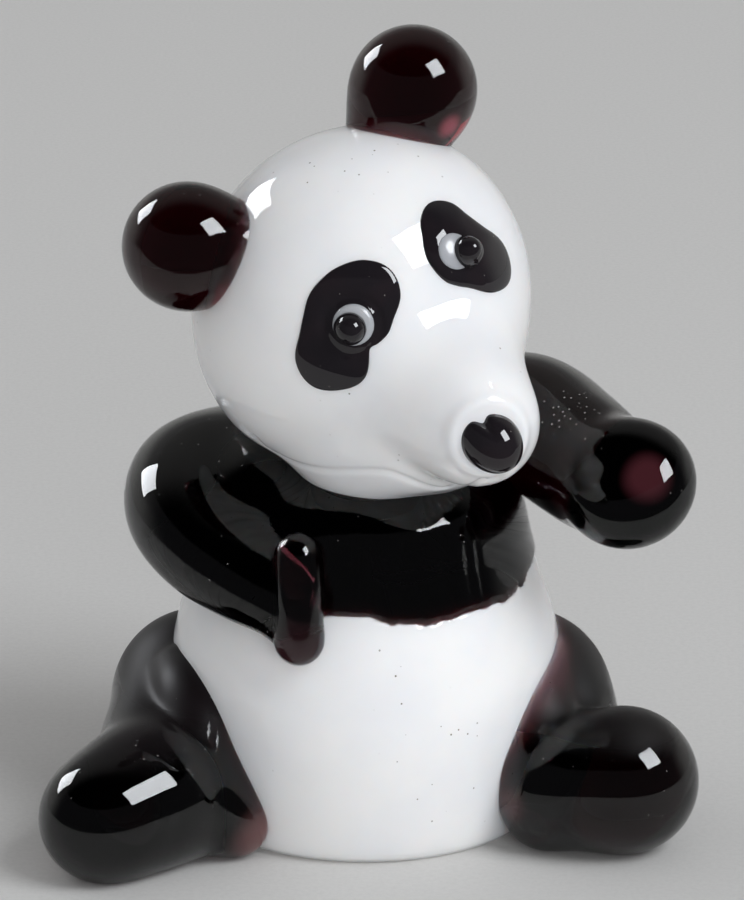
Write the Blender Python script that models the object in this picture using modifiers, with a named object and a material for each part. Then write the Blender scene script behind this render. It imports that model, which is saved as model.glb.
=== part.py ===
"""A glass panda, 80 mm tall, that sits upright with one arm raised.

Every piece is one gather of hot glass: a white body and head, and dark purple
ears, eye patches, nose, collar, arms and legs that were laid on while soft.
A hair of a gap stands where two gathers are fused.

The figure faces -Y with +Z up. Its origin is the middle of the body's flat
underside. Its right arm is at -X. Lengths that begin with a capital name are in
metres; the figure's pose and proportions are laid out in steps, which are
shares of its height and come to one millimetre at its real size.
"""

import math

import bmesh
import bpy
import numpy as np

FIGURE_HEIGHT = 0.0803
STEPS_IN_HEIGHT = 80.3
STEP = FIGURE_HEIGHT / STEPS_IN_HEIGHT

JOINT_GAP = 0.0003
COLLAR_THICKNESS = 0.0015
PATCH_THICKNESS = 0.0006
EYE_MOUND_RISE = 0.0006
EYE_WHITE_RISE = 0.0005
PUPIL_RISE = 0.0009
NOSE_RISE = 0.0021

# Outline of the turned torso: height and radius, in steps.
TORSO_OUTLINE = (
    (0.0, 17.3), (1.3, 18.4), (6.0, 19.3), (12.0, 19.8), (17.0, 19.6), (21.5, 18.6),
    (25.0, 17.3), (30.0, 16.0), (33.0, 15.3), (34.7, 13.6), (35.5, 10.6), (35.8, 6.0), (35.9, 3.0),
)
TORSO_CROWN = 35.95
TORSO_TURNS = 32
TORSO_LEVELS = (0.0, 1.3, 4.0, 8.0, 12.0, 16.0, 19.5, 23.0, 27.0, 31.0, 33.4, 34.8, 35.5)
BODY_LEVELS = (0.4, 1.3, 3.5, 7.0, 11.0, 15.0, 18.5, 21.8)
COLLAR_EDGE = 25.0
COLLAR_LEVELS = (1.0, 3.0, 5.6, 7.8, 9.0, 9.8, 10.4, 10.8)
COLLAR_LIP = 1.3
COLLAR_LIP_SHARES = (0.0, 0.35, 0.7, 1.0)
COLLAR_RAGGEDNESS = 0.45
# The ragged edge's waves: strength, waves round the body, phase.
COLLAR_WAVES = ((1.0, 2.0, 0.6), (0.6, 5.0, 1.9), (0.35, 11.0, 0.0))
WAVE_FADE = 3.0
SHOULDER_DROP = 5.0
CROWN_ANGLES = (0.0, 22.0, 42.0, 60.0, 75.0)
CROWN_ROUNDNESS = 0.7
CUTTER_FOOT = -2.0

# The head leans toward the figure's right and looks a little to its left.
HEAD_CENTRE = (-0.5, -1.5, 53.3)
HEAD_LONG_AXIS = (0.47, 0.0, 0.88)
HEAD_RADII = (16.5, 16.9, 17.7)
HEAD_SIDE = (0.82, 0.0, 0.57)
NECK = (0.2, -2.4, 43.8, 11.2)
SNOUT_ROOT = (4.8, -8.5, 49.8, 10.8)
SNOUT_TIP = (10.9, -18.0, 45.6, 6.2)
NOSE_POINT = (11.9, -25.0, 45.6)

RIGHT_EAR = ((-12.2, -6.4, 59.4, 4.7), (-17.2, -7.0, 60.8, 6.4))
LEFT_EAR = ((2.8, 1.6, 68.9, 4.8), (4.5, 2.2, 73.9, 6.45))

# Limbs: each row is a place along the limb and its radius there.
RIGHT_ARM = (
    (-13.6, 6.5, 34.4, 5.2), (-18.4, 2.0, 34.2, 5.2), (-18.8, -4.5, 32.2, 5.0),
    (-16.2, -10.0, 29.5, 4.6), (-11.6, -14.6, 27.6, 3.9), (-7.6, -17.2, 26.8, 3.0),
)
RIGHT_PAW = ((-6.4, -17.8, 31.0, 2.3), (-6.4, -18.0, 27.5, 2.8), (-6.9, -17.8, 24.6, 2.6))
LEFT_ARM = (
    (12.4, 9.5, 36.3, 6.2), (16.6, 5.5, 38.1, 6.4), (21.0, -2.0, 37.1, 6.4),
    (24.4, -8.0, 37.0, 6.4), (25.9, -11.7, 37.6, 6.7),
)
RIGHT_THIGH = (
    (-18.6, 6.0, 15.0, 2.8), (-20.2, 1.5, 12.4, 4.8), (-19.6, -4.4, 9.6, 6.3),
    (-18.0, -9.5, 7.2, 6.2), (-15.6, -13.2, 5.2, 5.4),
)
RIGHT_FOOT = (
    (-25.3, -19.0, 6.7, 6.9), (-18.6, -16.4, 5.4, 5.5), (-12.8, -15.0, 3.2, 3.6)
)
LEFT_THIGH = (
    (16.6, 7.0, 16.2, 3.6), (19.0, 2.0, 13.4, 5.2), (18.9, -4.4, 10.8, 6.4),
    (17.8, -9.4, 7.2, 6.0), (16.4, -12.0, 5.0, 5.0),
)
LEFT_FOOT = ((26.4, -12.7, 6.7, 6.9), (19.4, -13.0, 5.6, 5.6), (15.4, -13.6, 3.5, 3.7))

# Dark drops that make up each eye patch: across, up and radius from the eye's middle.
RIGHT_EYE = (-1.3, -19.8, 55.9)
RIGHT_PATCH_DROPS = ((2.5, 1.7, 3.6), (0.3, 1.9, 3.6), (-3.1, -1.1, 3.8), (1.6, -0.6, 2.2))
LEFT_EYE = (9.0, -15.0, 62.3)
LEFT_PATCH_DROPS = (
    (1.2, 3.1, 2.1), (0.5, -0.1, 3.2), (3.3, -2.3, 3.5), (3.0, -4.6, 1.6), (2.4, 1.6, 2.1)
)
EYE_MOUND_RADIUS = 3.3
EYE_MOUND_EDGE = 1.25
EYE_MOUND_FALL = 1.2
EYE_WHITE_RADIUS = 2.1
PUPIL_RADIUS = 1.5
NOSE_RADIUS = 2.75
NOSE_DIMPLE_DEPTH = 0.12
NOSE_DIMPLE_WIDTH = 0.35

SEAM_SOFTNESS = 3.0
DROP_SOFTNESS = 1.0
LONGEST_DROP = 12.0

# How a sphere's points are run out to a surface.
GATHER_REACH = 0.5 * FIGURE_HEIGHT
LIMB_REACH = 0.3 * FIGURE_HEIGHT
LIMB_CAP = 0.3
LIMB_LOOK_AHEAD = 0.06
SEARCH_STEPS = 60
HALVINGS = 40

WHITE_GLASS = ("white glass", (0.86, 0.85, 0.85, 1.0), 0.05)
DARK_GLASS = ("dark purple glass", (0.018, 0.006, 0.012, 1.0), 0.03)


def place(steps):
    """A position given in steps, in metres."""
    return np.array(steps[:3], dtype=float) * STEP


def unit(vector):
    """The same direction with a length of one."""
    vector = np.asarray(vector, dtype=float)
    return vector / np.linalg.norm(vector)


def smooth_step(value):
    """Rises from 0 to 1 with level ends."""
    value = np.clip(value, 0.0, 1.0)
    return value * value * (3.0 - 2.0 * value)


def curve_through(rows, per_span):
    """A smooth curve through rows of numbers, with its first and last row kept."""
    rows = np.array(rows, dtype=float)
    padded = np.vstack((2 * rows[0] - rows[1], rows, 2 * rows[-1] - rows[-2]))
    points = []
    for index in range(len(rows) - 1):
        before, start, end, after = padded[index:index + 4]
        for part in np.arange(per_span) / per_span:
            points.append(0.5 * (
                2 * start + (end - before) * part
                + (2 * before - 5 * start + 4 * end - after) * part ** 2
                + (3 * start - before - 3 * end + after) * part ** 3
            ))
    points.append(rows[-1])
    return np.array(points)


# A form is a function that takes points and gives their distance from a surface,
# negative inside the glass.


def egg(centre, long_axis, radii):
    """An ellipsoid whose third radius lies along long_axis and second along Y."""
    top = unit(long_axis)
    side = unit(np.cross((0.0, 1.0, 0.0), top))
    axes = np.array((side, np.cross(top, side), top))
    radii = np.array(radii) * STEP
    centre = place(centre)

    def form(points):
        local = (points - centre) @ axes.T
        near = np.linalg.norm(local / radii, axis=1)
        slope = np.linalg.norm(local / radii ** 2, axis=1)
        return near * (near - 1.0) / np.maximum(slope, 1e-9)

    return form


def run_of_glass(rows):
    """A round bar that swells and narrows along a smooth curve."""
    path = curve_through(rows, 6) * STEP if len(rows) > 2 else np.array(rows) * STEP

    def form(points):
        nearest = np.full(len(points), np.inf)
        for start, end in zip(path, path[1:]):
            along = end[:3] - start[:3]
            share = np.clip((points - start[:3]) @ along / (along @ along), 0.0, 1.0)
            centre = start[:3] + share[:, None] * along
            radius = start[3] + share * (end[3] - start[3])
            nearest = np.minimum(nearest, np.linalg.norm(points - centre, axis=1) - radius)
        return nearest

    return form


def ball(row):
    """A round gather of glass."""
    centre, radius = place(row), row[3] * STEP
    return lambda points: np.linalg.norm(points - centre, axis=1) - radius


def fused(softness, *forms):
    """Several forms melted into one, with a fillet of about softness between them."""
    width = softness * STEP

    def form(points):
        total = forms[0](points)
        for other in forms[1:]:
            distance = other(points)
            overlap = np.maximum(width - np.abs(total - distance), 0.0) / width
            total = np.minimum(total, distance) - overlap ** 3 * width / 6.0
        return total

    return form


def above_floor(form):
    """The form cut flat where it rests on the floor."""
    return lambda points: np.maximum(form(points), -points[:, 2])


TORSO_CURVE = curve_through(TORSO_OUTLINE, 8)


def torso_radius(height):
    """The torso's radius at a height, both in metres."""
    return np.interp(height, TORSO_CURVE[:, 0] * STEP, TORSO_CURVE[:, 1] * STEP)


def head_form():
    """Skull, snout and neck, drawn from one gather."""
    skull = egg(HEAD_CENTRE, HEAD_LONG_AXIS, HEAD_RADII)
    snout = run_of_glass((SNOUT_ROOT, SNOUT_TIP))
    return fused(SEAM_SOFTNESS, skull, snout, ball(NECK))


def meet_surface(form, origins, directions, reach):
    """The points where rays that start inside a form pass its surface."""
    low = np.zeros(len(origins))
    high = np.full(len(origins), reach)
    for share in np.linspace(0.0, 1.0, SEARCH_STEPS + 1)[1:]:
        tried = np.full(len(origins), share * reach)
        outside = form(origins + tried[:, None] * directions) > 0.0
        undecided = high >= reach
        high = np.where(outside & undecided, tried, high)
        low = np.where(~outside & undecided, tried, low)
    for _ in range(HALVINGS):
        middle = (low + high) / 2.0
        outside = form(origins + middle[:, None] * directions) > 0.0
        high = np.where(outside, middle, high)
        low = np.where(outside, low, middle)
    return origins + low[:, None] * directions


def new_sphere(segments, rings):
    """A unit UV sphere in a bmesh, with its points as polar and round angles."""
    sphere = bmesh.new()
    bmesh.ops.create_uvsphere(sphere, u_segments=segments, v_segments=rings, radius=1.0)
    points = np.array([vert.co for vert in sphere.verts])
    polar = np.arccos(np.clip(points[:, 2], -1.0, 1.0))
    around = np.arctan2(points[:, 1], points[:, 0])
    return sphere, polar, around


def finish_piece(name, shape, points, glass, collection):
    """Moves a bmesh's points to their places and makes it an object of that glass."""
    for vert, point in zip(shape.verts, points):
        vert.co = point
    shape.normal_update()
    if shape.calc_volume(signed=True) < 0.0:
        bmesh.ops.reverse_faces(shape, faces=shape.faces)
    mesh = bpy.data.meshes.new(name)
    shape.to_mesh(mesh)
    shape.free()
    mesh.shade_smooth()
    piece = bpy.data.objects.new(name, mesh)
    collection.objects.link(piece)
    dress(piece, glass)
    return piece


def dress(piece, glass):
    """Gives a piece its own Principled material."""
    finish, colour, roughness = glass
    material = bpy.data.materials.new(f"{piece.name} {finish}")
    material.use_nodes = True
    shader = material.node_tree.nodes["Principled BSDF"]
    shader.inputs["Base Color"].default_value = colour
    shader.inputs["Metallic"].default_value = 0.0
    shader.inputs["Roughness"].default_value = roughness
    material.diffuse_color = colour
    piece.data.materials.clear()
    piece.data.materials.append(material)


def blown(name, form, centre, pole, glass, collection, segments=20, rings=12, crowding=1.0):
    """A round piece: a sphere whose points run out from centre to the form's surface.

    The sphere's rings lie round pole and crowd toward it when crowding is over 1.
    """
    sphere, polar, around = new_sphere(segments, rings)
    polar = math.pi * (polar / math.pi) ** crowding
    top = unit(pole)
    side = unit(np.cross(top, (0.31, 0.87, 0.38)))
    other = np.cross(top, side)
    directions = (
        np.cos(polar)[:, None] * top
        + (np.sin(polar) * np.cos(around))[:, None] * side
        + (np.sin(polar) * np.sin(around))[:, None] * other
    )
    origins = np.tile(place(centre), (len(polar), 1))
    points = meet_surface(form, origins, directions, GATHER_REACH)
    return finish_piece(name, sphere, points, glass, collection)


def drawn(name, form, spine, glass, collection, segments=18, rings=19):
    """A long piece: a sphere whose rings are spread along spine and run out to the surface."""
    sphere, polar, around = new_sphere(segments, rings)
    path = curve_through(spine, 8)[:, :3] * STEP
    steps = np.linalg.norm(np.diff(path, axis=0), axis=1)
    length = np.concatenate(([0.0], np.cumsum(steps))) / steps.sum()
    share = polar / math.pi
    along = np.clip((share - LIMB_CAP) / (1.0 - 2.0 * LIMB_CAP), 0.0, 1.0)

    def on_path(part):
        return np.array([np.interp(part, length, path[:, axis]) for axis in range(3)]).T

    origins = on_path(along)
    forward = on_path(along + LIMB_LOOK_AHEAD) - on_path(along - LIMB_LOOK_AHEAD)
    forward /= np.linalg.norm(forward, axis=1)[:, None]
    side = np.cross(forward, (0.0, 0.0, 1.0))
    side /= np.linalg.norm(side, axis=1)[:, None]
    upward = np.cross(side, forward)
    lean = np.clip((share - LIMB_CAP) / LIMB_CAP, -1.0, 0.0)
    lean = lean + np.clip((share - 1.0 + LIMB_CAP) / LIMB_CAP, 0.0, 1.0)
    lean *= math.pi / 2.0
    directions = (
        np.sin(lean)[:, None] * forward
        + (np.cos(lean) * np.cos(around))[:, None] * side
        + (np.cos(lean) * np.sin(around))[:, None] * upward
    )
    points = meet_surface(form, origins, directions, LIMB_REACH)
    points[:, 2] = np.where(np.abs(points[:, 2]) < 1e-6, 0.0, points[:, 2])
    return finish_piece(name, sphere, points, glass, collection)


class Drop:
    """Glass dropped on the head: an outline round a place, and a stack of layers on it."""

    def __init__(self, head, place_steps):
        centre = place(HEAD_CENTRE)
        self.head = head
        self.normal = unit(place(place_steps) - centre)
        self.origin = centre + self.normal * GATHER_REACH
        self.across = unit(np.array(HEAD_SIDE) - self.normal * (self.normal @ HEAD_SIDE))
        self.up = np.cross(self.normal, self.across)
        if self.up[2] < 0.0:
            self.up = -self.up
        self.top = lambda across, up: np.zeros(len(across))

    def lay(self, name, radius, rise, glass, collection, segments, rings):
        """Adds one layer and makes it the top of the stack.

        radius gives the outline's radius for an angle, and rise the layer's
        thickness for a place, both in metres.
        """
        sphere, polar, around = new_sphere(segments, rings)
        spread = np.sin(polar) * radius(around)
        across = spread * np.cos(around)
        up = spread * np.sin(around)
        below = self.top

        def thickness(x, y):
            share = np.hypot(x, y) / radius(np.arctan2(y, x))
            return rise(x, y) * np.sqrt(np.maximum(1.0 - share ** 2, 0.0))

        height = below(across, up) + JOINT_GAP
        height += np.where(np.cos(polar) > 1e-6, thickness(across, up), 0.0)
        points = self.land(across, up, height)
        self.top = lambda x, y: below(x, y) + JOINT_GAP + thickness(x, y)
        return finish_piece(name, sphere, points, glass, collection)

    def land(self, across, up, height):
        """Places over the head's skin at the given heights, seen along the drop's normal."""
        starts = self.origin + across[:, None] * self.across + up[:, None] * self.up
        low = np.zeros(len(across))
        high = np.full(len(across), GATHER_REACH)
        for _ in range(HALVINGS):
            middle = (low + high) / 2.0
            over = self.head(starts - middle[:, None] * self.normal) > height
            low = np.where(over, middle, low)
            high = np.where(over, high, middle)
        return starts - low[:, None] * self.normal


def outline_of(drops):
    """The radius at an angle of the outline of several drops that melted together."""
    drops = np.array(drops) * STEP
    width = DROP_SOFTNESS * STEP

    def distance(x, y):
        total = np.full(len(x), 1.0)
        for across, up, radius in drops:
            one = np.hypot(x - across, y - up) - radius
            overlap = np.maximum(width - np.abs(total - one), 0.0) / width
            total = np.minimum(total, one) - overlap ** 3 * width / 6.0
        return total

    def radius(angle):
        low = np.zeros(len(angle))
        high = np.full(len(angle), LONGEST_DROP * STEP)
        for _ in range(HALVINGS):
            middle = (low + high) / 2.0
            outside = distance(middle * np.cos(angle), middle * np.sin(angle)) > 0.0
            high = np.where(outside, middle, high)
            low = np.where(outside, low, middle)
        return low

    return radius


def turned(name, profile, glass, collection):
    """A solid turned on the Z axis from a profile that runs down its outer side."""
    mesh = bpy.data.meshes.new(name)
    edges = [(index, index + 1) for index in range(len(profile) - 1)]
    mesh.from_pydata([(radius, 0.0, height) for radius, height in profile], edges, [])
    piece = bpy.data.objects.new(name, mesh)
    collection.objects.link(piece)
    screw = piece.modifiers.new("Turn", "SCREW")
    screw.steps = TORSO_TURNS
    screw.render_steps = TORSO_TURNS
    screw.use_merge_vertices = True
    screw.merge_threshold = 0.00001
    solid = bpy.data.meshes.new_from_object(
        piece.evaluated_get(bpy.context.evaluated_depsgraph_get())
    )
    piece.modifiers.clear()
    piece.data = solid
    bpy.data.meshes.remove(mesh)
    solid.name = name
    solid.shade_smooth()
    dress(piece, glass)
    return piece


def collar_wave(angle):
    """How far the collar's ragged edge stands above or below its mean height."""
    wave = sum(strength * np.sin(waves * angle + phase) for strength, waves, phase in COLLAR_WAVES)
    return COLLAR_RAGGEDNESS * STEP * wave


def make_body(collection, name="body", extra=0.0):
    """The turned white body, which steps in under the collar; extra makes it larger."""
    edge = COLLAR_EDGE * STEP
    crown = (NECK[2] - NECK[3]) * STEP - JOINT_GAP
    shoulder = crown - SHOULDER_DROP * STEP
    lip = COLLAR_LIP * STEP
    levels = [level * STEP for level in BODY_LEVELS]
    levels += [edge + share * lip for share in COLLAR_LIP_SHARES]

    def radius_at(level):
        recess = (COLLAR_THICKNESS + JOINT_GAP) * smooth_step((level - edge) / lip)
        return torso_radius(level) - recess

    rows = [(radius_at(level) + extra, level) for level in levels]
    rows.insert(0, (torso_radius(0.0) + extra, 0.0))
    rows.insert(0, (0.0, 0.0))
    shoulder_radius = radius_at(shoulder) + extra
    for angle in np.radians(CROWN_ANGLES):
        level = shoulder + (crown + extra - shoulder) * math.sin(angle)
        rows.append((shoulder_radius * math.cos(angle) ** CROWN_ROUNDNESS, level))
    rows.append((0.0, crown + extra))
    body = turned(name, list(reversed(rows)), WHITE_GLASS, collection)
    for vert in body.data.vertices:
        nearness = math.exp(-((vert.co.z - edge) / (WAVE_FADE * STEP)) ** 2)
        if vert.co.z > 0.0:
            vert.co.z += float(collar_wave(math.atan2(vert.co.y, vert.co.x))) * nearness
    return body


def make_cutters(cutters, head):
    """The body, the whole torso and the head, each a joint's gap larger, to cut seats with."""
    foot = CUTTER_FOOT * STEP
    rows = [(0.0, foot), (torso_radius(0.0) + JOINT_GAP, foot)]
    rows += [(torso_radius(level * STEP) + JOINT_GAP, level * STEP) for level in TORSO_LEVELS]
    rows.append((0.0, TORSO_CROWN * STEP))
    torso_cutter = turned("torso cutter", list(reversed(rows)), WHITE_GLASS, cutters)
    body_cutter = make_body(cutters, "body cutter", JOINT_GAP)
    head_cutter = blown(
        "head cutter", lambda points: head(points) - JOINT_GAP, HEAD_CENTRE, (0.0, 0.0, -1.0),
        WHITE_GLASS, cutters, segments=28, rings=18,
    )
    for cutter in (body_cutter, torso_cutter, head_cutter):
        cutter.hide_render = True
        cutter.display_type = "WIRE"
    return body_cutter, torso_cutter, head_cutter


def seat(piece, *neighbours):
    """Cuts a piece back to a joint's gap from its neighbours."""
    for neighbour in neighbours:
        cut = piece.modifiers.new(f"Seat by {neighbour.name}", "BOOLEAN")
        cut.operation = "DIFFERENCE"
        cut.solver = "EXACT"
        cut.object = neighbour


def make_collar(collection, body_cutter, head_cutter):
    """The dark sleeve of glass round the chest, seated on the body and under the head."""
    edge = COLLAR_EDGE * STEP
    levels = [edge] + [edge + level * STEP for level in COLLAR_LEVELS]
    rows = [(0.0, edge)] + [(torso_radius(level), level) for level in levels]
    rows.append((0.0, TORSO_CROWN * STEP))
    collar = turned("collar", list(reversed(rows)), DARK_GLASS, collection)
    for vert in collar.data.vertices:
        if abs(vert.co.z - edge) < 0.01 * STEP and math.hypot(vert.co.x, vert.co.y) > STEP:
            vert.co.z += float(collar_wave(math.atan2(vert.co.y, vert.co.x)))
    seat(collar, body_cutter, head_cutter)


def make_head(collection, head):
    """Skull, snout and neck."""
    pole = place(SNOUT_TIP) - place(HEAD_CENTRE)
    blown(
        "head", head, HEAD_CENTRE, pole, WHITE_GLASS, collection, segments=32, rings=24,
        crowding=1.35,
    )


def make_ears(collection, head_cutter):
    """Two knobs of dark glass on the crown."""
    for name, rows in (("right_ear", RIGHT_EAR), ("left_ear", LEFT_EAR)):
        base, knob = rows
        ear = blown(
            name, run_of_glass(rows), knob, place(base) - place(knob), DARK_GLASS, collection
        )
        seat(ear, head_cutter)


def make_arms(collection, torso_cutter):
    """The right arm with its paw on the chest, and the raised left arm."""
    right = fused(SEAM_SOFTNESS, run_of_glass(RIGHT_ARM), run_of_glass(RIGHT_PAW))
    spine = RIGHT_ARM[:-1] + (RIGHT_PAW[1],)
    seat(drawn("right_arm", right, spine, DARK_GLASS, collection), torso_cutter)
    seat(drawn("left_arm", run_of_glass(LEFT_ARM), LEFT_ARM, DARK_GLASS, collection), torso_cutter)


def make_legs(collection, torso_cutter):
    """Two splayed legs that hug the body's sides, each with a ball of a foot."""
    for name, thigh, foot in (
        ("right_leg", RIGHT_THIGH, RIGHT_FOOT), ("left_leg", LEFT_THIGH, LEFT_FOOT)
    ):
        form = above_floor(fused(SEAM_SOFTNESS, run_of_glass(thigh), run_of_glass(foot)))
        spine = (thigh[1], thigh[2], foot[0])
        leg = drawn(name, form, spine, DARK_GLASS, collection, segments=20, rings=18)
        seat(leg, torso_cutter)


def make_eyes(collection, head):
    """Each eye's dark patch with its mound, the white dot on it and the dark bead on that."""
    def bead(size):
        return lambda angle: np.full(len(angle), size * STEP)

    def patch_rise(across, up):
        from_eye = np.hypot(across, up) / (EYE_MOUND_RADIUS * STEP)
        slope = EYE_MOUND_FALL * (EYE_MOUND_EDGE - from_eye)
        return PATCH_THICKNESS + EYE_MOUND_RISE * smooth_step(slope)

    for side, spot, drops in (
        ("right", RIGHT_EYE, RIGHT_PATCH_DROPS), ("left", LEFT_EYE, LEFT_PATCH_DROPS)
    ):
        eye = Drop(head, spot)
        eye.lay(
            f"{side}_eye_patch", outline_of(drops), patch_rise, DARK_GLASS, collection, 24, 10
        )
        eye.lay(
            f"{side}_eye_white", bead(EYE_WHITE_RADIUS), lambda x, y: EYE_WHITE_RISE,
            WHITE_GLASS, collection, 16, 8,
        )
        eye.lay(
            f"{side}_pupil", bead(PUPIL_RADIUS), lambda x, y: PUPIL_RISE,
            DARK_GLASS, collection, 14, 8,
        )


def make_nose(collection, head):
    """A dark drop on the tip of the snout, with a dimple above."""
    def radius(angle):
        away = (angle - math.pi / 2.0) / NOSE_DIMPLE_WIDTH
        return NOSE_RADIUS * STEP * (1.0 - NOSE_DIMPLE_DEPTH * np.exp(-away ** 2))

    nose = Drop(head, NOSE_POINT)
    nose.lay("nose", radius, lambda x, y: NOSE_RISE, DARK_GLASS, collection, 20, 12)


def main():
    """Builds the panda."""
    for leftover in list(bpy.data.objects):
        bpy.data.objects.remove(leftover, do_unlink=True)
    panda = bpy.data.collections.new("glass panda")
    cutters = bpy.data.collections.new("cutters")
    bpy.context.scene.collection.children.link(panda)
    bpy.context.scene.collection.children.link(cutters)
    head = head_form()
    body_cutter, torso_cutter, head_cutter = make_cutters(cutters, head)
    make_body(panda)
    make_collar(panda, body_cutter, head_cutter)
    make_head(panda, head)
    make_ears(panda, head_cutter)
    make_arms(panda, torso_cutter)
    make_legs(panda, torso_cutter)
    make_eyes(panda, head)
    make_nose(panda, head)


main()
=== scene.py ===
"""Looks of the glass panda: white opal glass and very dark purple glass, fire polished.

Each piece is roughed out from balls, melted together with a remesh, and its skin is
then settled on the smooth surface that soft glass takes, with fillets where gathers
meet. Sizes are in millimetres until a piece is built, and the figure faces -Y.
"""

import logging
import math
from dataclasses import dataclass, field
from enum import Enum
from typing import Callable, Sequence

import bpy
import numpy as np
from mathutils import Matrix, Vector


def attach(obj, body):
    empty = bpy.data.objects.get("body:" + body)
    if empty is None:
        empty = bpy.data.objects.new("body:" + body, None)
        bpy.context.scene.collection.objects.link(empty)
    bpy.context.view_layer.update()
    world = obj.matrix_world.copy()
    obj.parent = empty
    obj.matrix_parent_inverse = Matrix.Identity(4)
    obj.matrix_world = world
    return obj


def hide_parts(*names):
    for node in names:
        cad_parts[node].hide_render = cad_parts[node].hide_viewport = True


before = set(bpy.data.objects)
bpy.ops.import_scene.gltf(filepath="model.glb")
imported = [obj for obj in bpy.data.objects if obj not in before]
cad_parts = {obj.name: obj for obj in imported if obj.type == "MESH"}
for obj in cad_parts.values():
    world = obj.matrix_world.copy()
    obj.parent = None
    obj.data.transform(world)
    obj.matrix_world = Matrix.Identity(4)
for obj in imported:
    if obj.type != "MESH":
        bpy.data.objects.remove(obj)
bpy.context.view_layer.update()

log = logging.getLogger("panda")

MM = 0.001
BODY = "root"

Points = np.ndarray
Form = Callable[[Points], np.ndarray]
Outline = Callable[[np.ndarray], np.ndarray]
Thickness = Callable[[np.ndarray, np.ndarray], np.ndarray]
Row = tuple[float, ...]
Colour = tuple[float, float, float, float]

BLACK: Colour = (0.0, 0.0, 0.0, 1.0)
WHITE: Colour = (1.0, 1.0, 1.0, 1.0)
FULL_TURN = 2.0 * math.pi
SPECK_CORE = 0.6


class Slot(Enum):
    """The record's material slots."""

    WHITE = "white_glass"
    DARK = "dark_glass"


# Shader building


class Wire:
    """A value or a node's output that takes part in Python maths."""

    def __init__(self, board: "Board", source: object) -> None:
        """Wraps a source.

        Args:
            board: The node tree that new Math nodes go in.
            source: An output socket or a number.
        """
        self.board = board
        self.source = source

    def _math(self, operation: str, *values: object) -> "Wire":
        """Adds one Math node.

        Args:
            operation: The Math node's operation.
            values: Its inputs, as wires or numbers.

        Returns:
            The node's result.
        """
        node = self.board.node("ShaderNodeMath", {"operation": operation}, dict(enumerate(values)))
        return Wire(self.board, node.outputs[0])

    def __add__(self, other: object) -> "Wire":
        """Sum."""
        return self._math("ADD", self, other)

    def __rsub__(self, other: object) -> "Wire":
        """Difference with a number first."""
        return self._math("SUBTRACT", other, self)

    def __mul__(self, other: object) -> "Wire":
        """Product."""
        return self._math("MULTIPLY", self, other)

    def rises(self, low: float, high: float) -> "Wire":
        """Goes smoothly from 0 at low to 1 at high.

        Args:
            low: The value that gives 0.
            high: The value that gives 1.

        Returns:
            The mask.
        """
        settings = {"interpolation_type": "SMOOTHSTEP", "clamp": True}
        node = self.board.node("ShaderNodeMapRange", settings, {0: self, 1: low, 2: high})
        return Wire(self.board, node.outputs[0])

    def both(self, other: "Wire") -> "Wire":
        """The smaller of two masks."""
        return self._math("MINIMUM", self, other)

    def either(self, other: "Wire") -> "Wire":
        """The larger of two masks."""
        return self._math("MAXIMUM", self, other)


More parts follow.
